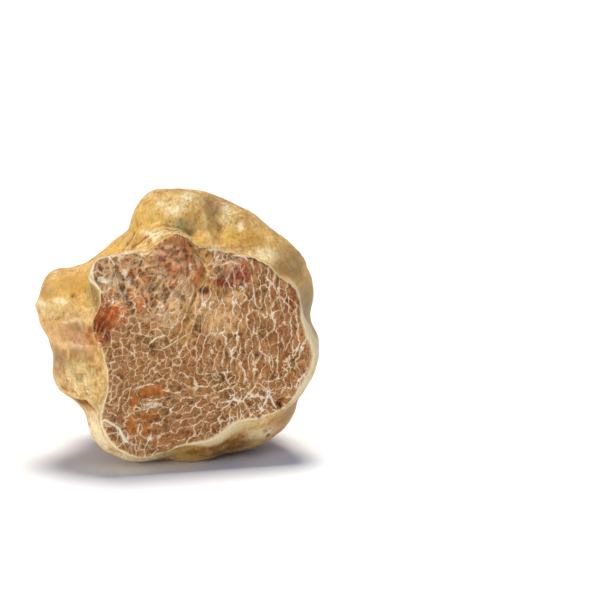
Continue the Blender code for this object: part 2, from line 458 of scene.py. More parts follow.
# marks and relief of the cut face, in the cut frame, as x across and z up
goldFold = [(-0.4, 23.1), (1.2, 21.7), (2.1, 19.9), (3.0, 18.2), (3.6, 16.9), (3.2, 15.3), (2.4, 14.0),
            (1.2, 12.8), (-1.0, 6.8), (-2.7, 2.6)]
cutMarks = {  # depths are below zero for what stands out
    "unevenness": [(6.0, 0.10, 4), (1.6, 0.05, 9)],  # size, depth, seed
    "tornParts": [((-15, 14), (7, 8)), ((-8, 13), (8, 8)), ((-12, 19), (10, 5)), ((7, 17), (6, 3.5))],
    "tornPits": [(3.0, 0.9, 6), (1.4, 0.45, 14)],
    "tornRidges": [(2.6, 0.85, 83), (1.2, 0.35, 89)],  # size, share, seed
    "ridgeHeight": 0.4,
    "ridgeWander": (1.6, 2.6, (71, 73, 79)),  # how far they stray, over which size, seeds
    "smoothRedPart": ((9.4, 16.2), (3.2, 2.0), 25),
    # patches without veins, besides the amber blotches: the brow, its flank and the orange hollow
    "smoothParts": [((-3.2, 21.0), (6.4, 5.4), -12), ((1.2, 17.2), (2.6, 5.2)),
                    ((-18.0, 8.2), (4.0, 3.0), 35), ((3.2, 20.8), (2.0, 2.4), -20)],
    "wavyPart": ((-3.6, 20.4), (5.0, 3.4), -12),
    "wavePitch": 1.9,
    "waveHeight": 0.08,
    "dents": [  # centre, radii, turn, depth
        ((-3.0, 19.6), (4.4, 3.2), -15, -1.0),  # brow
        ((5.5, 15.0), (3.0, 3.0), 0, 0.5),  # beside the gold fold
        ((9.3, 16.0), (3.0, 2.1), 25, 1.1),  # red hollow
    ],
    "grooves": [  # corners, half-width, depth, how steep the walls are
        ([(-1.2, 22.0), (-0.7, 19.0), (-0.5, 16.5)], 0.5, 0.3, 2),  # crease down the brow
        ([(-8.5, 1.6), (-7.0, 2.3), (-5.4, 2.9)], 0.5, 0.7, 2),  # slit
        ([(-11.6, -8.2), (-7.6, -8.1)], 0.9, 0.35, 4),  # slot between two amber blotches
        ([(12.6, 19.4), (14.5, 18.6), (17.4, 17.2)], 0.28, 0.8, 2),  # crack at the double rim
    ],
    "foldWidth": 0.5,
    "foldDepth": (0.15, 0.6),  # at the lower and the upper end
    "hollowAt": (-18.3, 8.0),  # the orange-red hollow at the left rim
    "hollowTurn": 35,
    "hollowDepth": 2.0,
    "hollowFoldsFrom": (-21.5, 3.5),  # folds run out from the hollow's lower left end
    "furrowDepth": 0.33,
    "hollowFolds": (22, 1.2, 1.3),  # how many to a full turn, how far they sway, how fast
    "cordHeight": 0.14,
    "cordWander": (0.2, 0.8, (51, 57)),
    "rimRounding": 0.35,  # the cut's edge is rounded off over this much
    "holeWander": (0.35, 0.7, (61, 67)),
    "holes": [  # centre, radii, depth
        ((19.0, -12.3), (0.75, 0.95), 1.7), ((14.6, -14.8), (0.6, 0.45), 1.0), ((2.8, 13.0), (1.1, 0.8), 0.8),
        ((11.2, 13.6), (0.5, 0.4), 0.8), ((3.9, 22.5), (0.6, 0.3), 0.7), ((-14.4, 14.1), (0.5, 0.9), 0.2),
        ((19.6, -13.6), (0.7, 0.25), 0.6),
    ],
    # single veins that stand out: half-width at the first and the last corner, then corners
    "cords": [
        # inner line of the double rim
        (0.15, 0.13, [(15.2, 17.0), (16.0, 15.1), (17.6, 13.4), (18.5, 11.3), (20.2, 9.5), (23.1, 6.3)]),
        (0.16, 0.20, [(-16.7, 19.1), (-16.1, 16.5), (-15.5, 14.0), (-13.7, 10.9)]),
        (0.22, 0.40, [(-20.6, -14.6), (-19.3, -13.4), (-17.9, -14.1), (-16.1, -15.6), (-15.0, -17.8),
                      (-13.7, -19.2)]),
        (0.14, 0.24, [(13.8, -7.6), (12.7, -9.1), (10.2, -11.5)]),
        (0.16, 0.26, [(16.2, -7.8), (16.6, -9.7), (15.7, -11.6), (14.8, -13.1)]),
        (0.24, 0.14, [(16.4, -10.0), (17.2, -12.0), (18.3, -13.8)]),
        (0.11, 0.18, [(-9.8, 1.5), (-8.1, 3.2), (-6.4, 3.9), (-4.4, 3.6)]),
        (0.11, 0.15, [(-7.9, 1.2), (-5.8, 1.1), (-3.6, 2.5), (-0.1, 4.2)]),
        (0.32, 0.18, [(-19.4, 21.3), (-20.5, 20.3), (-21.2, 18.5), (-20.8, 16.3), (-19.3, 13.7)]),
        (0.26, 0.16, [(-19.4, 21.3), (-17.7, 21.0), (-16.7, 20.1), (-16.3, 18.4)]),
        (0.18, 0.30, [(-15.0, 19.8), (-14.1, 21.5), (-12.4, 21.8), (-10.5, 21.1), (-9.3, 20.0)]),
        (0.12, 0.12, [(-14.0, -6.9), (-12.6, -7.3), (-11.3, -6.7), (-9.3, -6.4), (-7.2, -6.9)]),
        (0.10, 0.13, [(-11.5, -9.6), (-9.4, -9.8), (-7.3, -9.7), (-5.5, -8.8)]),
        (0.12, 0.14, [(12.9, 16.3), (13.2, 13.5), (13.4, 10.9), (14.0, 8.1)]),
        (0.24, 0.14, [(24.3, -6.5), (22.8, -7.7), (22.1, -9.7)]),
        (0.15, 0.15, [(5.5, 18.4), (5.3, 19.6), (6.1, 20.4)]),
        (0.13, 0.13, [(6.3, 20.0), (7.2, 19.1)]),
        (0.13, 0.13, [(7.2, 20.3), (8.1, 19.2)]),
        (0.13, 0.13, [(8.6, 20.0), (9.1, 19.2)]),
        (0.15, 0.15, [(5.5, 18.4), (6.6, 18.2), (8.4, 18.8), (10.1, 18.2)]),
        (0.16, 0.16, [(8.6, 20.0), (11.6, 19.7), (12.2, 18.7)]),
        (0.16, 0.28, goldFold[:8]),
        (0.12, 0.16, [(-0.1, 21.0), (1.2, 20.1), (2.3, 19.0), (3.0, 18.1)]),
        (0.12, 0.16, [(-11.6, -14.4), (-12.0, -15.6), (-12.3, -16.9)]),
        (0.14, 0.16, [(-15.0, -13.7), (-13.5, -12.3), (-11.6, -11.8), (-9.4, -11.7)]),
    ],
    # where veins meet in white stars: place and reach
    "stars": [
        (8.7, -10.8, 3.6), (16.4, -9.7, 2.8), (22.5, -0.8, 1.6), (17.3, -2.9, 2.0), (9.2, -0.2, 2.0),
        (7.3, -4.9, 2.0), (13.1, 8.1, 1.5), (24.4, -6.5, 1.4), (-14.9, -17.6, 1.8), (-9.6, -18.0, 1.4),
        (-6.9, 9.9, 1.2), (-16.9, 11.5, 1.2), (12.6, -10.4, 2.0), (14.6, -13.4, 1.8), (20.5, -4.6, 1.2),
        (10.4, -14.6, 1.5),
    ],
    "starSeed": 7,
}
stains = {  # on the cut face: centre, radii, turn
    "sallow": [((2.6, 9.5), (4.2, 3.0)), ((6.2, 6.2), (4.6, 3.6)), ((-5.0, 8.0), (3.0, 3.5)),
               ((0.2, 16.5), (1.0, 1.2)), ((9.2, 11.0), (2.6, 2.0))],
    "mauve": [((-3.6, 21.6), (3.8, 2.4), -10), ((-17.2, -4.0), (2.6, 6.0)), ((-16.0, -12.0), (2.6, 4.0)),
              ((0.0, -15.0), (7.0, 2.8)), ((20.4, 5.0), (2.4, 5.5)), ((16.5, -12.0), (2.0, 1.6)),
              ((-18.6, 18.6), (1.7, 1.6)), ((-17.2, -16.6), (1.4, 2.0), 25), ((-6.6, 20.3), (1.5, 1.0)),
              ((12.0, -13.6), (2.4, 1.2)), ((7.5, 19.3), (2.6, 1.0), -8), ((2.9, 12.9), (1.3, 1.0)),
              ((-0.9, 17.8), (0.6, 1.4)), ((4.6, 18.6), (1.0, 0.8))],
    "brick": [((-4.2, 18.0), (2.2, 1.2), -35), ((-0.9, 20.3), (0.7, 2.6)), ((1.8, 16.2), (1.3, 3.4), -10),
              ((-12.2, 13.4), (1.5, 2.6), -20), ((-9.8, 16.0), (1.6, 1.5)), ((-11.3, 11.4), (1.8, 1.0)),
              ((-5.5, 14.5), (1.2, 1.6)), ((-9.0, 12.6), (1.2, 0.9)), ((7.2, 18.9), (2.0, 0.9)),
              ((6.2, 14.0), (1.6, 1.0))],
    "gold": [((2.4, 21.2), (1.3, 1.7), -20), ((3.8, 19.4), (0.8, 1.4)), ((4.9, 14.3), (1.8, 2.2)),
             ((-1.0, 8.5), (1.0, 4.0), 20), ((-12.4, 20.8), (2.0, 0.8)), ((-2.0, 2.6), (2.2, 0.9), 30),
             ((-11.8, -10.4), (0.7, 0.6)), ((-12.6, -12.0), (1.4, 0.6)), ((-9.0, 20.4), (1.6, 0.8))],
    "rust": [((-19.8, 4.0), (1.1, 1.8)), ((-15.6, 7.6), (1.2, 1.4)), ((13.4, -9.6), (0.9, 0.7)),
             ((18.9, -12.2), (0.9, 1.1)), ((-2.4, 5.4), (0.8, 0.7))],
    "amber": [((-10.3, -8.2), (1.9, 1.3)), ((-7.9, -8.2), (1.9, 1.3)), ((-12.8, -9.8), (0.9, 1.8), -20),
              ((-13.4, -15.2), (1.0, 2.9), 8), ((-9.9, -13.3), (2.2, 0.7), 5), ((-10.6, -16.4), (0.7, 1.6))],
    # the dark red stain is partly painted shade, at the edges of the orange hollow
    "maroonAndShade": [((-19.0, 18.3), (1.0, 1.0)), ((-1.3, 21.3), (0.4, 2.4), 3), ((-18.4, 10.9), (2.4, 1.0), 25),
               ((-21.6, 6.0), (1.0, 1.4)), ((-18.3, 4.4), (1.0, 1.4)), ((-6.7, 20.4), (1.2, 0.8)),
               ((2.9, 12.9), (1.2, 0.9)), ((-0.9, 17.8), (0.5, 1.2))],
    "peach": [((-4.7, 22.3), (2.2, 0.6), -8), ((-7.3, 21.6), (1.3, 0.5)), ((-5.6, 20.5), (1.0, 0.7)),
              ((-3.2, 19.0), (1.3, 0.9)), ((-6.6, 17.6), (2.6, 1.0), -30), ((0.9, 18.8), (0.9, 1.2)),
              ((-1.6, 15.6), (1.6, 1.0), -20), ((-9.8, 18.6), (2.0, 0.8), -25)],
    "crimson": [((10.0, 16.2), (2.3, 1.5), 25), ((7.6, 13.9), (1.5, 0.8), -10), ((11.6, 16.0), (1.0, 2.2)),
                ((5.8, 14.4), (1.0, 0.8)), ((20.9, 9.3), (1.2, 1.0))],
    "chalk": [((-0.4, 18.1), (0.55, 0.8)), ((-18.9, 16.4), (1.8, 1.0), -20), ((4.8, 22.0), (3.0, 1.7)),
              ((11.2, 13.4), (1.4, 0.7), 15), ((-9.0, -10.9), (2.6, 0.7)), ((-13.2, -19.2), (1.3, 0.8)),
              ((-9.7, -18.0), (1.0, 0.8)), ((4.4, -5.0), (0.8, 0.8)), ((4.1, -0.2), (0.5, 0.7)),
              ((-14.3, 17.3), (0.7, 1.8)), ((-8.0, 14.4), (0.6, 0.5)), ((-13.4, 15.4), (0.7, 1.6)),
              ((-19.9, 3.0), (0.5, 0.5)), ((8.7, -10.8), (0.8, 0.7)), ((-6.8, 9.8), (0.9, 0.7))],
}


def starArms():  # each star sends out a few arms that thin out and bend
    chance = np.random.default_rng(cutMarks["starSeed"])
    arms = []
    for x, y, reach in cutMarks["stars"]:
        first = chance.uniform(0, 2 * math.pi)
        count = 5 if reach > 2 else 3
        for k in range(count):
            angle = first + (k + chance.uniform(-0.3, 0.3)) * 2 * math.pi / count
            length = reach * chance.uniform(0.5, 1.1) * (1 + 0.3 * abs(math.sin(angle)))
            corners = [(x, y)]
            for step in (0.4, 0.6):
                angle += chance.uniform(-0.6, 0.6)
                lastX, lastY = corners[-1]
                reached = (lastX + step * length * math.cos(angle), lastY + step * length * math.sin(angle))
                corners.append(reached)
            arms.append((0.08 + 0.022 * reach, 0.06, corners))
    return arms


def cordRatio(lines, thinEnds):  # distance from the nearest line, in half-widths of that line
    places = flat + wander(onPlane, *cutMarks["cordWander"])
    nearest = np.full(len(places), 4.0)
    for firstWidth, lastWidth, corners in lines:
        corners = np.asarray(corners, float)
        lengths = np.linalg.norm(np.diff(corners, axis=0), axis=1)
        gone = 0.0
        for start, end, length in zip(corners[:-1], corners[1:], lengths):
            run = end - start
            share = np.clip((places - start) @ run / (run @ run), 0, 1)
            away = np.linalg.norm(places - start - share[:, None] * run, axis=1)
            along = (gone + share * length) / lengths.sum()
            width = firstWidth + (lastWidth - firstWidth) * along
            if thinEnds:
                width = width * np.clip(np.minimum(along, 1 - along) * 5, 0.3, 1) * 0.85
            nearest = np.minimum(nearest, away / width)
            gone += length
    return nearest


def foldsInHollow():  # -1 on the top of a fold, 1 in the furrow between two, where the colour is palest
    away = flat - np.array(cutMarks["hollowFoldsFrom"])
    angle = np.arctan2(away[:, 1], away[:, 0])
    count, sway, pace = cutMarks["hollowFolds"]
    return np.sin(angle * count + sway * np.sin(np.linalg.norm(away, axis=1) * pace))


def tornRidges():  # 1 on the ridges of the torn parts; their folds run downwards
    bent = onPlane + wander(onPlane, *cutMarks["ridgeWander"])
    bent[:, 1] *= 0.7
    ridges = sum(share * bell(lumps(bent, size, seed), 0.11) for size, share, seed in cutMarks["tornRidges"])
    kept = torn * (1 - 0.85 * brow) * (1 - 0.7 * blot(flat, *cutMarks["smoothRedPart"]))
    return np.minimum(ridges, 1) * kept


def browWaves():  # soft waves on the brow, -1 to 1
    along = up - 0.35 * across + 1.5 * lumps(onPlane, 2.4, 101) + 0.4 * lumps(onPlane, 0.9, 103)
    strength = ease(blot(flat, *cutMarks["wavyPart"]), 0.35, 0.7)
    return np.sin(along * 2 * math.pi / cutMarks["wavePitch"]) * strength


def carveFace():  # how far each point of the cut is pushed into the flesh
    depth = sum(amount * lumps(onPlane, size, seed) for size, amount, seed in cutMarks["unevenness"])
    pits = sum(amount * lumps(onPlane, size, seed) for size, amount, seed in cutMarks["tornPits"])
    depth += torn * (pits - cutMarks["ridgeHeight"] * crumple)
    depth -= cutMarks["waveHeight"] * waves + cutMarks["cordHeight"] * ease(ratio, 1.8, 0.5)
    for centre, radii, turn, amount in cutMarks["dents"]:
        depth += amount * blot(flat, centre, radii, turn)
    for corners, halfWidth, amount, steepness in cutMarks["grooves"]:
        depth += amount * bell(distanceToLine(flat, corners), halfWidth, steepness)
    low, high = cutMarks["foldDepth"]
    foldDepth = low + (high - low) * ease(up, 2, 12)
    depth += foldDepth * bell(distanceToLine(flat, goldFold), cutMarks["foldWidth"])
    bent = flat + wander(onPlane, *cutMarks["holeWander"])
    for centre, radii, amount in cutMarks["holes"]:
        away = np.linalg.norm((bent - centre) / radii, axis=1)
        depth += amount * bell(away, 1, 4)
    # the hollow and its folds reach over the rim, where the rest of the relief has faded out
    hollow = blot(flat, cutMarks["hollowAt"], (3.3, 2.4), cutMarks["hollowTurn"])
    folds = cutMarks["furrowDepth"] * ease(hollow, 0.05, 0.5) * hollowFold
    atRim = ease(intoFlesh, 3, 0.5) * (cutMarks["hollowDepth"] * hollow + folds)
    rounding = cutMarks["rimRounding"]
    return depth * isFlesh + rounding * bell(underSkin, rounding) * onFace + atRim


ratio = np.minimum(cordRatio(cutMarks["cords"], True), cordRatio(starArms(), False))
ratio += 4 * ease(intoFlesh, 1, 2)  # no cords behind the face
torn = ease(blots(flat, cutMarks["tornParts"]), 0.25, 0.8)
brow = ease(blots(flat, stains["amber"] + cutMarks["smoothParts"]), 0.3, 0.75)  # 1 where there are no veins
hollowFold = foldsInHollow()
crumple = tornRidges()
waves = browWaves()
carved = carveFace()
moved = placeOnCut + normals * raised[:, None]
moved[:, 1] += carved
writePoints(body, moved)
print("on the cut face:", int(onFace.sum()), "of", len(onFace), "points; deepest", carved.max())


def creaseDepth(piece, rounds):  # how far each point lies below the average of its surroundings, in mm
    pairs = np.zeros(len(piece.data.edges) * 2, np.int64)
    piece.data.edges.foreach_get("vertices", pairs)
    pairs = pairs.reshape(-1, 2)
    points = readVertices(piece)
    count = np.bincount(pairs.ravel(), minlength=len(points))[:, None]
    average = points.copy()
    for _ in range(rounds):
        total = np.zeros_like(average)
        for axis in range(3):
            for near, far in ((0, 1), (1, 0)):
                total[:, axis] += np.bincount(pairs[:, near], average[pairs[:, far], axis], len(points))
        average = 0.5 * average + 0.5 * total / count
    return ((average - points) * readVertices(piece, "normal")).sum(axis=1)


# the veins' course: below, they fan out of the lower star; above, they run upwards
veinFlow = {
    "fan": (11.0, -7.5),
    "fanFrom": (-0.5, -7.5),  # heights at which the fan begins and rules
    "fanDrop": (0.17, 3, 0.2, -4),  # it begins lower, by twice this per mm, right of 3 and left of -4
    "fanFadesLeft": (-9, -17),
    "fanSize": (2.2, -0.32),  # factor and power: cells are finer near the fan's centre, coarser far from it
    "stretch": 0.5,  # at the right the plane is squeezed by this share, so cells there are twice as long
    "stretchFrom": (-6, 6),
    "leftFrom": (3, -6),  # where the left part, with its olive flesh and curling veins, begins and rules
}
fan = np.array(veinFlow["fan"])


def bentLine(value):  # 0 far below zero, twice the value far above, with a soft bend between
    return value + np.sqrt(value ** 2 + 9)


def lowness(places):  # 1 where the veins fan out, 0 where they run upwards
    toRight, rightEnd, toLeft, leftEnd = veinFlow["fanDrop"]
    shift = toRight * bentLine(places[:, 0] - rightEnd) + toLeft * bentLine(leftEnd - places[:, 0])
    low = ease(places[:, 1] + shift, *veinFlow["fanFrom"])
    return (low * (1 - 0.65 * ease(places[:, 0], *veinFlow["fanFadesLeft"])))[:, None]


def veinMap(places):  # bends the plane so that round cells come out drawn along the veins
    stretch = veinFlow["stretch"] * ease(places[:, 0], *veinFlow["stretchFrom"])
    squeezed = places[:, 1] - stretch * 0.5 * bentLine(places[:, 1] + 6)
    out = places - fan
    reach = np.sqrt((out ** 2).sum(axis=1, keepdims=True) + 30)
    scale, power = veinFlow["fanSize"]
    fanned = fan + out * scale * reach ** power
    low = lowness(places)
    return fanned * low + np.column_stack((places[:, 0], squeezed)) * (1 - low)


def veinGrain():  # the direction in which the veins run, on the plane
    outward = flat - fan
    outward /= np.maximum(np.linalg.norm(outward, axis=1, keepdims=True), 0.01)
    upward = np.tile((0.06, 1.0), (len(flat), 1))
    upward[:, 0] += 0.028 * (across - 12) * ease(up, 12, -4)
    outward *= np.sign((outward * upward).sum(axis=1, keepdims=True) + 1e-6)
    grain = outward * low + upward * (1 - low)
    return grain / np.linalg.norm(grain, axis=1, keepdims=True)


def withZero(places):
    return np.column_stack((places, np.zeros(len(places))))


low = lowness(flat)
mapped = veinMap(flat)
addAttribute(body, "grain", withZero(veinGrain()))
addAttribute(body, "veinPlace", np.column_stack((mapped, intoFlesh)))
mapStep = 0.01
for name, step in (("perAcross", (mapStep, 0)), ("perUp", (0, mapStep))):
    addAttribute(body, name, withZero((veinMap(flat + np.array(step)) - mapped) / mapStep))
addAttribute(body, "leftness", ease(across + 0.2 * up, *veinFlow["leftFrom"]) * (1 - 0.6 * low[:, 0]))

# the pale line along the cut's rim
rimLine = {
    "width": 0.30,
    "wider": [(0.45, (5.5, -17.5), (9, 3.5)), (0.3, (-16.5, -20), (5, 5)), (0.2, (-20, -14), (2, 6)),
              (0.2, (-20.5, 18), (3, 4))],  # by how much, centre, radii
    "widerAtRight": 0.9,
    "missing": ((-20.5, 7.0), (4, 5)),  # it stops beside the hollow
}
rimWidth = rimLine["width"] + rimLine["widerAtRight"] * ease(across, 20, 23.5) * ease(up, 10, 4)
rimWidth += sum(more * blot(flat, centre, radii) for more, centre, radii in rimLine["wider"])
missing = ease(blot(flat, *rimLine["missing"]), 0.1, 0.5)
# the skin right behind the rim is as pale as the rim, below and at the right
lip = ease(intoFlesh, 1.5, 0.6) * np.maximum(blot(flat, (4, -18), (11, 5)), ease(across, 19, 23))
lip = np.maximum(lip, 0.2 * ease(intoFlesh, 0.5, 0.15))

skinStains = {  # in the truffle's own frame: centre, radii
    "golden": [((-4, -8, 54), (7, 7, 3)), ((-21, -11, 39.5), (5, 5, 2.5)), ((4.5, -11.5, 49.5), (2.5, 3, 3)),
               ((-13, -3, 46.5), (4, 6, 2.5)), ((-9, -7, 50), (2, 4, 3)), ((-24, -11, 31.8), (3, 4, 1.2)),
               ((12, -5, 49), (6, 5, 2)), ((8, -12, 5), (9, 5, 3))],
    "cream": [((18, -7, 6.5), (4.5, 5, 1.8)), ((-0.3, -7, 55.2), (2.8, 4, 1.2)), ((-28, -7, 35), (2, 4, 0.9)),
              ((-24, -11, 36.4), (2.4, 3, 0.6)), ((-15, -14, 9), (4, 5, 6)), ((-16, -12, 8), (4, 6, 6)),
              ((-8, -14, 2.5), (8, 6, 2.5)), ((2.4, -5, 57.2), (1.4, 4, 1.3)),
              ((-2.5, -7, 56.6), (2.2, 3, 0.5)), ((28, -4, 26), (4, 6, 10)), ((-5, -11.5, 50.5), (4, 2.5, 1)),
              ((17.5, -6, 45), (5, 3, 1.5)), ((10.5, -2, 54.2), (1.0, 4, 1.6)),
              ((13.5, -3, 51), (0.8, 4, 1.2))],
    "straw": [((-20.5, -14.5, 21.5), (4, 4, 3.6)), ((-17, -15, 16.2), (2.4, 3, 1.4)),
              ((1, -5, 57), (5, 6, 1.8)), ((11, -2, 53.5), (2.4, 5, 3)), ((-26, -9, 33.8), (3, 4, 1.6))],
    "pink": [((-22, -13, 30), (6, 5, 3.4)), ((-19, -15, 27), (3, 4, 2)), ((18, -5, 7), (5, 6, 2.5)),
             ((-24.5, -10.8, 23.5), (2, 4, 4)), ((10, -3, 56), (3, 5, 1.5))],
    # the grey-beige stain is real on the left; on the right side and beside the knob it is painted shade
    "ashAndShade": [((24, -4, 43), (4, 5, 5)), ((29, -5, 33), (3, 6, 8)), ((7.5, -4, 55), (1.6, 4, 3.6)),
            ((24, -4, 14), (5, 6, 6)), ((-24.5, -9, 24), (2.5, 4, 2.5)),
            ((-20.8, -14, 31.4), (2.2, 2.5, 1.0)), ((-20.5, -14.5, 26.2), (2.2, 2.5, 0.7))],
    "ochre": [((-22, -11, 39.8), (5, 5, 1.8)), ((-27, -8, 38), (2.5, 4, 2.0)), ((-15, -8, 42), (4, 6, 2)),
              ((2, -6, 54.5), (2.5, 3, 1.4)), ((16, -4, 48), (3, 4, 1.5))],
    "blush": [((-17.6, -17.5, 31.4), (0.9, 4, 1.1)), ((-18.2, -17.5, 29.9), (1.0, 4, 0.9)),
              ((-17.4, -17, 28.7), (0.7, 4, 0.7))],
    # the grey-green stain, specked, is partly painted shade in the hollow behind the brow and under the
    # overhanging upper-left lobule
    "mouldAndShade": [((1.0, -9.8, 52.0), (3.4, 3.0, 1.8)), ((-17.0, -16, 39.8), (2.4, 4, 2.8))],
    # the brown stain: pits and patches; under the lower rim and in the crease under the bump it is partly
    # painted shade
    "umberAndShade": [((10, -10, 4), (9, 6, 3.8)), ((28, 6, 30), (3, 4, 5)), ((-19, -12.5, 14.3), (5, 4, 0.8)),
              ((-23.5, -11, 17.8), (0.9, 2, 0.7)), ((-21.3, -11.9, 37.6), (0.8, 2, 0.6)),
              ((18.6, -7.1, 7.1), (0.6, 1, 0.6)), ((19.3, -5.4, 5.6), (0.6, 1, 0.6)),
              ((16.5, -7.8, 8.0), (0.5, 1, 0.5))],
}

# everything that the material reads, stored for each vertex
spread = {name: blots(flat, spots) for name, spots in stains.items()}
spread["gold"] = np.maximum(spread["gold"], 0.9 * bell(distanceToLine(flat, goldFold), 0.8))
for name, mask in spread.items():
    addAttribute(body, name, mask * ease(intoFlesh, 4, 2))
for name, spots in skinStains.items():
    addAttribute(body, name, blots(ownPlace, spots))
inHollow = ease(blot(flat, cutMarks["hollowAt"], (4.6, 3.0), cutMarks["hollowTurn"]), 0.1, 0.5)
for name, values in {
    # crease and hollow: how far a point lies below its surroundings; the material darkens creases and dents
    # by them as painted shade, and lightens the skin's ridges as painted highlight
    "crease": creaseDepth(body, 10),
    "hollow": creaseDepth(body, 60),
    "hollowFold": ease(hollowFold, -0.5, 0.4),
    "inHollow": inHollow,
    "torn": torn,
    "crumple": crumple,
    "waves": waves,
    "brow": brow,
    "cordRatio": ratio,
    "knots": blots(flat, [((x, y), 0.8) for x, y, _ in cutMarks["stars"]]),
    "rimWidth": rimWidth * (1 - 0.9 * brow) * (1 - 0.95 * missing),
    "lip": lip * (1 - missing),
    "underSkin": underSkin,
    "cutPlace": placeOnCut[:, [0, 2, 1]],
}.items():
    addAttribute(body, name, values)

body.data.transform(fromCut)
points = readVertices(body)
points[points[:, 2] < shape["footDepth"], 2] = 0
writePoints(body, points)
body.data.transform(Matrix.Scale(mm, 4))
body.data.shade_smooth()
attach(body, "root")
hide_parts("truffle")
print("stains laid")


def layOutMap(piece, cutShare=0.55):  # the map that patterns are baked on: the cut face takes cutShare of it
    corners = np.zeros(len(piece.data.loops), np.int64)
    piece.data.loops.foreach_get("vertex_index", corners)
    onCutFace = [all(isFlesh[corner] > 0.02 for corner in face.vertices) for face in piece.data.polygons]
    areas = np.array([face.area for face in piece.data.polygons])
    cutArea = areas[onCutFace].sum() / mm ** 2
    piece.data.uv_layers.new(name="OFBake")
    pickFaces(piece, [not isCut for isCut in onCutFace])
    bpy.ops.uv.smart_project(angle_limit=math.radians(66), island_margin=0.002)
    bpy.ops.object.mode_set(mode="OBJECT")
    layer = piece.data.uv_layers["OFBake"]
    places = np.zeros(len(corners) * 2)
    layer.uv.foreach_get("vector", places)
    places = places.reshape(-1, 2)
    ofCut = np.repeat(onCutFace, [len(face.vertices) for face in piece.data.polygons])
    size = math.sqrt(cutShare / (1 - cutShare) / cutArea)
    places[ofCut] = flat[corners[ofCut]] * size + (3, 0)  # beside the skin's islands, until all are packed
    layer.uv.foreach_set("vector", places.ravel())
    bpy.ops.object.mode_set(mode="EDIT")
    bpy.ops.mesh.select_all(action="SELECT")
    bpy.ops.uv.select_all(action="SELECT")
    bpy.ops.uv.pack_islands(rotate=True, scale=True, margin=0.002)
    bpy.ops.object.mode_set(mode="OBJECT")


layOutMap(body)
print("bake map laid out")


def weightedSum(tree, total, *terms):  # the total, plus each value times its share
    for value, share in terms:
        total = addNode(tree, "Math", {0: value, 1: share, 2: total}, operation="MULTIPLY_ADD")[0]
    return total


def layColour(tree, base, colour, value, low=0.0, high=1.0, strength=1.0, fade="LINEAR"):
    # lays a colour over the base: not where value is at low, and by strength where it is at high
    mask = {"Value": value, "From Min": low, "From Max": high, "To Max": strength}
    mask = addNode(tree, "MapRange", mask, interpolation_type=fade)[0]
    base, colour = (linearColour(side) if isinstance(side, str) else side for side in (base, colour))
    return addNode(tree, "Mix", {0: mask, 6: base, 7: colour}, data_type="RGBA")[2]


def layStains(tree, base, marks, ragged, kinds, low):  # stains whose edges are broken up by noise
    for name, (colour, strength, raggedness, full) in kinds.items():
        edge = addNode(tree, "Math", {0: ragged, 1: raggedness, 2: 1.0}, operation="MULTIPLY_ADD")[0]
        mask = addNode(tree, "Math", {0: edge, 1: marks[name]}, operation="MULTIPLY")[0]
        base = layColour(tree, base, colour, mask, low, full, strength, "SMOOTHSTEP")
    return base


fleshLook = {  # lengths in millimetres; noise as scale per mm, detail, roughness
    "dark": "#724C22",
    "mid": "#B67C46",
    "warm": "#9A5C2A",
    "olive": "#8C6232",
    "ridge": "#ECCB9A",
    "halo": "#BE8D57",
    "vein": "#E8BE88",
    "gilt": "#DDB45E",
    "white": "#F8E7C8",
    # painted shade that darkens the creases of the cut face
    "creaseShade": "#6A3C1C",
    "rim": "#EFD9AC",
    "paleStripe": "#D4803E",  # in the orange hollow
    "darkStripe": "#A04A22",
    "shade": (0.62, 0.52, 0.38, 1),  # the flesh is multiplied by a tint between these two
    "light": (1.3, 1.3, 1.3, 1),
    "brightness": -0.4,  # brings the mean of what is added to it to about 1
    # in the torn part every cell has a colour of its own: where its tone begins and is full, strength, colour
    "tornCells": [(0.5, 0.75, 0.75, "#B2642C"), (0.4, 0.15, 0.6, "#7A4420")],
    "waves": [(0.2, 1.0, 0.5, "#C8946C"), (0.0, -0.9, 0.4, "#84442A")],
    # stain: colour, strength, raggedness, where it is full
    "stains": {
        "sallow": ("#D8A66C", 0.8, 1.0, 0.8), "mauve": ("#94603C", 0.75, 3.0, 0.9),
        "brick": ("#B0662F", 0.85, 2.5, 0.7), "gold": ("#B88A40", 0.65, 3.0, 0.8),
        "rust": ("#B4682C", 0.9, 3.0, 0.6), "amber": ("#A65E1E", 0.92, 0.8, 0.45),
        # the dark red stain is partly painted shade
        "maroonAndShade": ("#74301C", 0.9, 3.0, 0.8), "peach": ("#D0A074", 0.75, 3.0, 0.9),
        "crimson": ("#86281A", 0.94, 2.6, 0.6),
    },
    "noise": {"cloud": (0.22, 5.0, 0.6), "ragged": (0.9, 4.0, 0.65), "speck": (2.1, 4.0, 0.7),
              "blur": (0.9, 3.0, 0.6), "patchy": (0.45, 2.0, 0.5)},
    "drift": [(0.45, 1.2), (1.4, 0.6), (4.0, 0.26)],  # scale, and how far the veins wander
    # cell size, half-width, share of gaps, how far veins keep to the grain, seed
    "nets": [(1.6, 0.1, 0.1, 0.9, 3.7), (0.8, 0.06, 0.42, 0.3, 11.3)],
}


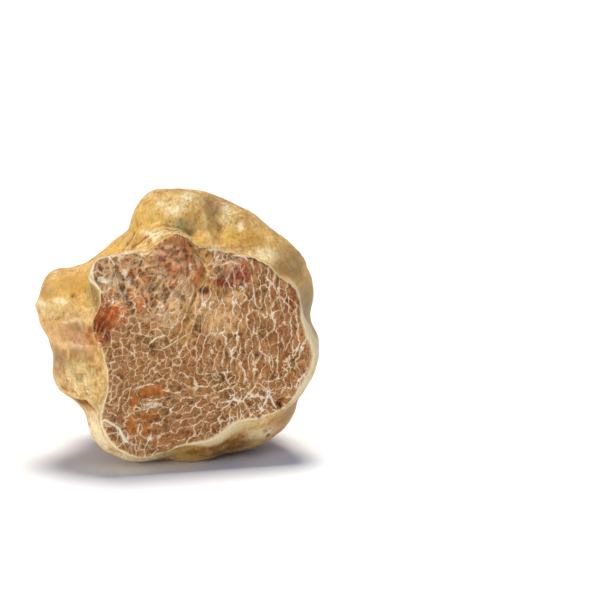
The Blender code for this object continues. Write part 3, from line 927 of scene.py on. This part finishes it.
def makeVeinNet():  # veins run along the borders of flat cells; some borders are left out or stop half-way
    tree = bpy.data.node_groups.new("veinNet", "ShaderNodeTree")
    for name in ("Place", "Grain", "PerAcross", "PerUp"):
        tree.interface.new_socket(name, in_out="INPUT", socket_type="NodeSocketVector")
    for name in ("CellSize", "HalfWidth", "Gaps", "Lean", "Seed"):
        tree.interface.new_socket(name, in_out="INPUT", socket_type="NodeSocketFloat")
    for name in ("Vein", "Near", "Tone", "Knot"):
        tree.interface.new_socket(name, in_out="OUTPUT", socket_type="NodeSocketFloat")
    given = tree.nodes.new("NodeGroupInput").outputs
    result = tree.nodes.new("NodeGroupOutput").inputs

    share = addNode(tree, "Math", {0: 1.0, 1: given["CellSize"]}, operation="DIVIDE")[0]
    place = addNode(tree, "VectorMath", {0: given["Place"], "Scale": share}, operation="SCALE")[0]
    shift = addNode(tree, "CombineXYZ", {0: given["Seed"], 1: given["Seed"]})[0]
    place = addNode(tree, "VectorMath", {0: place, 1: shift})[0]
    cell = {"Vector": place, "Scale": 1.0, "Randomness": 0.95}
    first = addNode(tree, "TexVoronoi", cell, voronoi_dimensions="2D", feature="F1")
    second = addNode(tree, "TexVoronoi", cell, voronoi_dimensions="2D", feature="F2")
    apart = {0: second["Position"], 1: first["Position"]}
    apart = addNode(tree, "VectorMath", apart, operation="SUBTRACT")[0]
    apart = addNode(tree, "VectorMath", {0: apart}, operation="NORMALIZE")[0]
    middle = addNode(tree, "VectorMath", {0: first["Position"], 1: second["Position"]})[0]
    middle = addNode(tree, "VectorMath", {0: middle, "Scale": 0.5}, operation="SCALE")[0]
    toMiddle = addNode(tree, "VectorMath", {0: middle, 1: place}, operation="SUBTRACT")[0]
    away = addNode(tree, "VectorMath", {0: toMiddle, 1: apart}, operation="DOT_PRODUCT")["Value"]
    away = addNode(tree, "Math", {0: away, 1: given["CellSize"]}, operation="MULTIPLY")[0]
    # undo the bending of the plane, so that widths and directions are true
    slopeX = addNode(tree, "VectorMath", {0: apart, 1: given["PerAcross"]}, operation="DOT_PRODUCT")["Value"]
    slopeY = addNode(tree, "VectorMath", {0: apart, 1: given["PerUp"]}, operation="DOT_PRODUCT")["Value"]
    apart = addNode(tree, "CombineXYZ", {0: slopeX, 1: slopeY})[0]
    shrink = addNode(tree, "VectorMath", {0: apart}, operation="LENGTH")["Value"]
    away = addNode(tree, "Math", {0: away, 1: shrink}, operation="DIVIDE")[0]
    apart = addNode(tree, "VectorMath", {0: apart}, operation="NORMALIZE")[0]

    # three random numbers for each border, the same from both of its cells
    chance = addNode(tree, "TexWhiteNoise", {"Vector": middle}, noise_dimensions="2D")["Color"]
    chance = addNode(tree, "SeparateColor", {0: chance})
    crossing = addNode(tree, "VectorMath", {0: apart, 1: given["Grain"]}, operation="DOT_PRODUCT")["Value"]
    crossing = addNode(tree, "Math", {0: crossing}, operation="ABSOLUTE")[0]
    crossing = addNode(tree, "Math", {0: crossing, 1: 3.0}, operation="POWER")[0]
    drop = {0: crossing, 1: given["Lean"], 2: given["Gaps"]}
    drop = addNode(tree, "Math", drop, operation="MULTIPLY_ADD")[0]
    keep = addNode(tree, "Math", {0: chance["Red"], 1: drop}, operation="SUBTRACT")[0]
    keep = addNode(tree, "MapRange", {"Value": keep, "From Min": -0.02, "From Max": 0.02})[0]
    # stubs: one end of the border shows, and chance picks which
    side = addNode(tree, "VectorMath", {0: toMiddle, 1: (0.83, 0.56, 0)}, operation="DOT_PRODUCT")["Value"]
    flip = addNode(tree, "Math", {0: chance["Green"], 1: 0.5}, operation="GREATER_THAN")[0]
    flip = addNode(tree, "Math", {0: flip, 1: 2.0, 2: -1.0}, operation="MULTIPLY_ADD")[0]
    side = addNode(tree, "Math", {0: side, 1: flip}, operation="MULTIPLY")[0]
    stub = addNode(tree, "MapRange", {"Value": side, "From Min": -0.02, "From Max": 0.10})[0]
    hasStub = addNode(tree, "Math", {0: chance["Blue"], 1: 0.35}, operation="GREATER_THAN")[0]
    stub = addNode(tree, "Math", {0: stub, 1: hasStub}, operation="MULTIPLY")[0]
    shown = addNode(tree, "Math", {0: keep, 1: stub}, operation="MAXIMUM")[0]

    # veins are thicker near a knot, where three cells meet
    knot = {"Value": first["Distance"], "From Min": 0.52, "From Max": 0.85}
    knot = addNode(tree, "MapRange", knot, interpolation_type="SMOOTHSTEP")[0]
    width = addNode(tree, "MapRange", {"Value": chance["Blue"], "To Min": 0.5, "To Max": 1.4})[0]
    thicker = addNode(tree, "Math", {0: knot, 1: 0.9, 2: 1.0}, operation="MULTIPLY_ADD")[0]
    for factor in (thicker, given["HalfWidth"]):
        width = addNode(tree, "Math", {0: width, 1: factor}, operation="MULTIPLY")[0]
    widths = addNode(tree, "Math", {0: away, 1: width}, operation="DIVIDE")[0]
    for name, low, high, fade in (("Vein", 0.5, 1.6, "SMOOTHSTEP"), ("Near", 0.5, 4.2, "LINEAR")):
        band = {"Value": widths, "From Min": low, "From Max": high, "To Min": 1.0, "To Max": 0.0}
        band = addNode(tree, "MapRange", band, interpolation_type=fade)[0]
        band = addNode(tree, "Math", {0: band, 1: shown}, operation="MULTIPLY")[0]
        tree.links.new(band, result[name])
    tree.links.new(addNode(tree, "SeparateColor", {0: first["Color"]})["Red"], result["Tone"])
    tree.links.new(knot, result["Knot"])
    return tree


def layVeinNets(tree, marks):  # the main net and the fine one, on a plane made wavy so that veins wander
    place = marks["veinPlace"]
    for scale, reach in fleshLook["drift"]:
        drift = {"Vector": marks["cutPlace"], "Scale": scale, "Detail": 1.0}
        drift = addNode(tree, "TexNoise", drift, noise_dimensions="2D")["Color"]
        drift = addNode(tree, "VectorMath", {0: drift, 1: (0.5, 0.5, 0.5)}, operation="SUBTRACT")[0]
        drift = addNode(tree, "VectorMath", {0: drift, "Scale": reach}, operation="SCALE")[0]
        place = addNode(tree, "VectorMath", {0: place, 1: drift})[0]
    veinNet = makeVeinNet()
    nets = []
    for size, halfWidth, gaps, leaning, seed in fleshLook["nets"]:
        lean = addNode(tree, "MapRange", {"Value": marks["leftness"], "To Min": leaning, "To Max": 0.2})[0]
        width = {0: marks["knots"], 1: 0.9 * halfWidth, 2: halfWidth}
        width = addNode(tree, "Math", width, operation="MULTIPLY_ADD")[0]
        links = {"Place": place, "Grain": marks["grain"], "PerAcross": marks["perAcross"],
                 "PerUp": marks["perUp"], "CellSize": size, "HalfWidth": width, "Gaps": gaps, "Lean": lean,
                 "Seed": seed}
        nets.append(addNode(tree, "Group", links, node_tree=veinNet))
    return nets


def marbleFlesh(tree, marks):  # gives the colour, the relief and the noise that also breaks up the rim
    # Truffle flesh: wet marbled tissue, brown cells between cream veins, cut smooth, so a soft sheen.
    look = fleshLook
    main, fine = layVeinNets(tree, marks)
    noises = {}
    for name, (scale, detail, roughness) in look["noise"].items():
        links = {"Vector": marks["cutPlace"], "Scale": scale, "Detail": detail, "Roughness": roughness}
        noises[name] = addNode(tree, "TexNoise", links, noise_dimensions="2D")[0]
    ragged = addNode(tree, "Math", {0: noises["ragged"], 1: -0.5}, operation="ADD")[0]

    # between the veins
    flesh = layColour(tree, look["dark"], look["mid"], noises["cloud"], 0.32, 0.68)
    flesh = layColour(tree, flesh, look["olive"], marks["leftness"], strength=0.45)
    flesh = layColour(tree, flesh, look["warm"], main["Tone"], 0.3, 0.9, 0.7)
    for low, high, strength, colour in look["tornCells"]:
        share = addNode(tree, "Math", {0: marks["torn"], 1: strength}, operation="MULTIPLY")[0]
        flesh = layColour(tree, flesh, colour, main["Tone"], low, high, share)
    stripes = layColour(tree, look["darkStripe"], look["paleStripe"], marks["hollowFold"])
    flesh = layColour(tree, flesh, stripes, marks["inHollow"])
    flesh = layStains(tree, flesh, marks, ragged, look["stains"], 0.15)
    for low, high, strength, colour in look["waves"]:
        flesh = layColour(tree, flesh, colour, marks["waves"], low, high, strength)

    # every cell differs in brightness, and each is speckled; broad dents are darkened, as painted shade
    speck = addNode(tree, "Math", {0: noises["speck"], 1: -0.5}, operation="ADD")[0]
    calm = weightedSum(tree, 2.4, (marks["brow"], -1.6), (marks["sallow"], -1.5))
    speck = addNode(tree, "Math", {0: speck, 1: calm}, operation="MULTIPLY")[0]
    uneven = addNode(tree, "Math", {0: noises["blur"], 1: -0.5}, operation="ADD")[0]
    uneven = addNode(tree, "Math", {0: uneven, 1: marks["torn"]}, operation="MULTIPLY")[0]
    bright = weightedSum(tree, look["brightness"], (speck, 1.0), (noises["blur"], 2.0), (fine["Tone"], 0.8),
                         (marks["hollow"], -0.6), (uneven, 1.5))
    tint = layColour(tree, look["shade"], look["light"], bright, 0.5, 1.25)
    flesh = addNode(tree, "VectorMath", {0: flesh, 1: tint}, operation="MULTIPLY")[0]
    flesh = layColour(tree, flesh, look["ridge"], marks["crumple"], strength=0.68)

    # veins: fine ones, then the main net with its pale surround, then the white stars and cords
    quiet = weightedSum(tree, 1.0, (marks["brow"], -0.9), (marks["crimson"], -0.5))
    patchy = {"Value": noises["patchy"], "From Min": 0.36, "From Max": 0.62, "To Min": 0.6}
    patchy = addNode(tree, "MapRange", patchy)[0]
    inTorn = addNode(tree, "Math", {0: marks["torn"], 1: -0.1, 2: 1.0}, operation="MULTIPLY_ADD")[0]
    for factor in (patchy, inTorn):
        quiet = addNode(tree, "Math", {0: quiet, 1: factor}, operation="MULTIPLY")[0]
    fineShare = addNode(tree, "Math", {0: marks["leftness"], 1: -0.1, 2: 0.6}, operation="MULTIPLY_ADD")[0]
    for part, strength, colour in ((fine["Vein"], fineShare, "vein"), (main["Near"], 0.7, "halo"),
                                   (main["Vein"], 1.0, "vein")):
        share = addNode(tree, "Math", {0: quiet, 1: strength}, operation="MULTIPLY")[0]
        flesh = layColour(tree, flesh, look[colour], part, strength=share)
    white = weightedSum(tree, 0.36, (marks["knots"], 1.0), (main["Knot"], 0.5), (marks["leftness"], -0.32),
                        (marks["sallow"], 0.4))
    for factor in (main["Vein"], quiet):
        white = addNode(tree, "Math", {0: white, 1: factor}, operation="MULTIPLY")[0]
    cord = addNode(tree, "Math", {0: ragged, 1: -2.0, 2: marks["cordRatio"]}, operation="MULTIPLY_ADD")[0]
    flesh = layColour(tree, flesh, look["halo"], cord, 3.0, 1.0, 0.5)
    chalk = addNode(tree, "Math", {0: ragged, 1: 2.4, 2: marks["chalk"]}, operation="MULTIPLY_ADD")[0]
    for value, low, high, strength in ((chalk, 0.5, 1.0, 0.7), (cord, 1.5, 0.5, 0.95)):
        value = {"Value": value, "From Min": low, "From Max": high, "To Max": strength}
        value = addNode(tree, "MapRange", value)[0]
        white = addNode(tree, "Math", {0: white, 1: value}, operation="MAXIMUM")[0]
    gilt = layColour(tree, look["white"], look["gilt"], marks["gold"])
    flesh = layColour(tree, flesh, gilt, white)
    # the creases of the cut are darkened: painted shade
    flesh = layColour(tree, flesh, look["creaseShade"], marks["crease"], 0.03, 0.25, 0.5)

    # veins stand out a little, too finely for the mesh
    relief = addNode(tree, "Math", {0: main["Near"], 1: 0.5, 2: main["Vein"]}, operation="MULTIPLY_ADD")[0]
    relief = addNode(tree, "Math", {0: relief, 1: quiet, 2: speck}, operation="MULTIPLY_ADD")[0]
    relief = addNode(tree, "Math", {0: relief, 1: 0.06}, operation="MULTIPLY")[0]
    return flesh, relief, ragged


skinLook = {  # noise as scale per mm, detail, roughness
    "cloud": ("#C09150", "#DDB26A"),
    # where it begins and is full, strength, colour
    "patches": [(-0.02, 0.2, 0.6, "#F0D597"), (0.02, -0.22, 0.45, "#9C6E30")],
    "strands": [(0.0, 0.9, 0.6, "#F4E0A8"), (0.0, -0.9, 0.55, "#A67C36")],
    "creases": [(-0.02, -0.12, 0.35, "#EACB8E"), (0.02, 0.14, 0.6, "#87571F")],  # painted highlight on ridge tops, painted shade in the folds
    # stain: colour, strength, raggedness, where it is full
    "stains": {
        "straw": ("#EECC8A", 0.78, 3.0, 0.9), "golden": ("#DEB054", 0.75, 3.0, 0.9),
        "pink": ("#CA946C", 0.68, 3.5, 0.9), "cream": ("#FAE6B8", 0.88, 2.0, 0.9),
        # the grey-beige stain is partly painted shade
        "ashAndShade": ("#98784E", 0.75, 2.5, 0.9), "ochre": ("#B4853C", 0.7, 3.0, 0.9),
        # the brown stain is partly painted shade
        "blush": ("#A04E1E", 0.9, 2.0, 0.9), "umberAndShade": ("#704008", 0.88, 3.5, 0.9),
        # the grey-green stain is partly painted shade
        "mouldAndShade": ("#8A8862", 0.72, 5.5, 0.9),
    },
    "dots": "#7A5428",
    "thread": "#EED2A4",
    "lip": "#E6CF9E",
    "hues": ((1.08, 0.98, 1.0, 1), (1.0, 1.04, 0.88, 1)),  # the skin is multiplied by a tint between these
    # the real skin's grain is well under 0.2 mm, too fine to show, so the fine noise is about 0.6 mm coarse
    "noise": {"broad": (0.15, 4.0, 0.5), "small": (0.5, 5.0, 0.55), "fine": (1.7, 4.0, 0.6),
              "dots": (1.3, 2.0, 0.5), "hue": (0.7, 4.0, 0.6)},
    "drawn": (1.0, 1.0, 0.65),  # the fine noise is drawn out downwards
}


def mottleSkin(tree, marks):  # gives the colour, the gloss and the relief
    # Truffle skin: thin waxy peridium, matt to satin, mottled cream to ochre.
    look = skinLook
    inBody = addNode(tree, "TexCoord")["Object"]
    inBody = addNode(tree, "VectorMath", {0: inBody, "Scale": 1 / mm}, operation="SCALE")[0]
    drawn = addNode(tree, "VectorMath", {0: inBody, 1: look["drawn"]}, operation="MULTIPLY")[0]
    noises = {}
    for name, (scale, detail, roughness) in look["noise"].items():
        place = drawn if name == "fine" else inBody
        links = {"Vector": place, "Scale": scale, "Detail": detail, "Roughness": roughness}
        noises[name] = addNode(tree, "TexNoise", links)[0]
    rough = weightedSum(tree, -0.8, (noises["small"], 1.0), (noises["fine"], 0.6))  # about 0 in the mean

    # cream and ochre clouds, stains, some of them partly painted shade, brown specks
    skin = layColour(tree, *look["cloud"], noises["broad"], 0.36, 0.64)
    for low, high, strength, colour in look["patches"]:
        skin = layColour(tree, skin, colour, rough, low, high, strength)
    skin = layStains(tree, skin, marks, rough, look["stains"], 0.05)
    dots = {0: marks["mouldAndShade"], 1: 0.15, 2: noises["dots"]}
    dots = addNode(tree, "Math", dots, operation="MULTIPLY_ADD")[0]
    skin = layColour(tree, skin, look["dots"], dots, 0.66, 0.74, 0.6)

    # fine mottling and a slow change of hue, then strands, threads, and painted shade in the creases with
    # painted highlight on the ridges
    mottle = {"Value": noises["fine"], "From Min": 0.3, "From Max": 0.7, "To Min": 0.84, "To Max": 1.17}
    mottle = addNode(tree, "MapRange", mottle)[0]
    skin = addNode(tree, "VectorMath", {0: skin, "Scale": mottle}, operation="SCALE")[0]
    hue = layColour(tree, *look["hues"], noises["hue"], 0.36, 0.64)
    skin = addNode(tree, "VectorMath", {0: skin, 1: hue}, operation="MULTIPLY")[0]
    for low, high, strength, colour in look["strands"]:
        skin = layColour(tree, skin, colour, marks["strands"], low, high, strength)
    threadShare = addNode(tree, "Math", {0: rough, 1: 2.5, 2: 0.5}, operation="MULTIPLY_ADD")[0]
    skin = layColour(tree, skin, look["thread"], marks["threads"], strength=threadShare)
    # painted shade in the skin's folds, painted highlight on their tops
    for low, high, strength, colour in look["creases"]:
        skin = layColour(tree, skin, colour, marks["crease"], low, high, strength)
    skin = layColour(tree, skin, look["lip"], marks["lip"])

    gloss = {"Value": noises["small"], "From Min": 0.3, "From Max": 0.7, "To Min": 0.42, "To Max": 0.6}
    gloss = addNode(tree, "MapRange", gloss)[0]
    # the grain is deepest where the skin is straw-coloured
    pores = addNode(tree, "Math", {0: marks["straw"], 1: 0.9, 2: 0.5}, operation="MULTIPLY_ADD")[0]
    pores = addNode(tree, "Math", {0: rough, 1: pores}, operation="MULTIPLY")[0]
    return skin, gloss, pores


def makeTissue():  # skin and flesh in one, since both are the same tissue
    tissue = bpy.data.materials.new("white truffle tissue")
    tissue.use_nodes = True
    tree = tissue.node_tree
    shader = tree.nodes["Principled BSDF"]
    marks = {name: addNode(tree, "Attribute", attribute_name=name)[output] for name, output in stored.items()}
    flesh, veins, ragged = marbleFlesh(tree, marks)
    skin, gloss, pores = mottleSkin(tree, marks)

    # the skin's cut edge is a pale line between skin and flesh
    depth = {0: ragged, 1: 0.8, 2: marks["underSkin"]}
    depth = addNode(tree, "Math", depth, operation="MULTIPLY_ADD")[0]
    depth = addNode(tree, "Math", {0: depth, 1: marks["rimWidth"]}, operation="DIVIDE")[0]
    flesh = layColour(tree, fleshLook["rim"], flesh, depth, 0.7, 1.3)
    inside = addNode(tree, "MapRange", {"Value": marks["underSkin"], "From Min": 0.06, "From Max": 0.16})[0]
    tree.links.new(layColour(tree, skin, flesh, inside), shader.inputs["Base Color"])
    tree.links.new(gloss, shader.inputs["Roughness"])
    shader.inputs["IOR"].default_value = 1.42
    shader.inputs["Specular IOR Level"].default_value = 0.25
    height = addNode(tree, "Mix", {0: inside, 2: pores, 3: veins})[0]
    bump = addNode(tree, "Bump", {"Height": height, "Distance": mm, "Strength": 1.0})[0]
    tree.links.new(bump, shader.inputs["Normal"])
    return tissue


body.data.materials.clear()
body.data.materials.append(makeTissue())
print("material done")
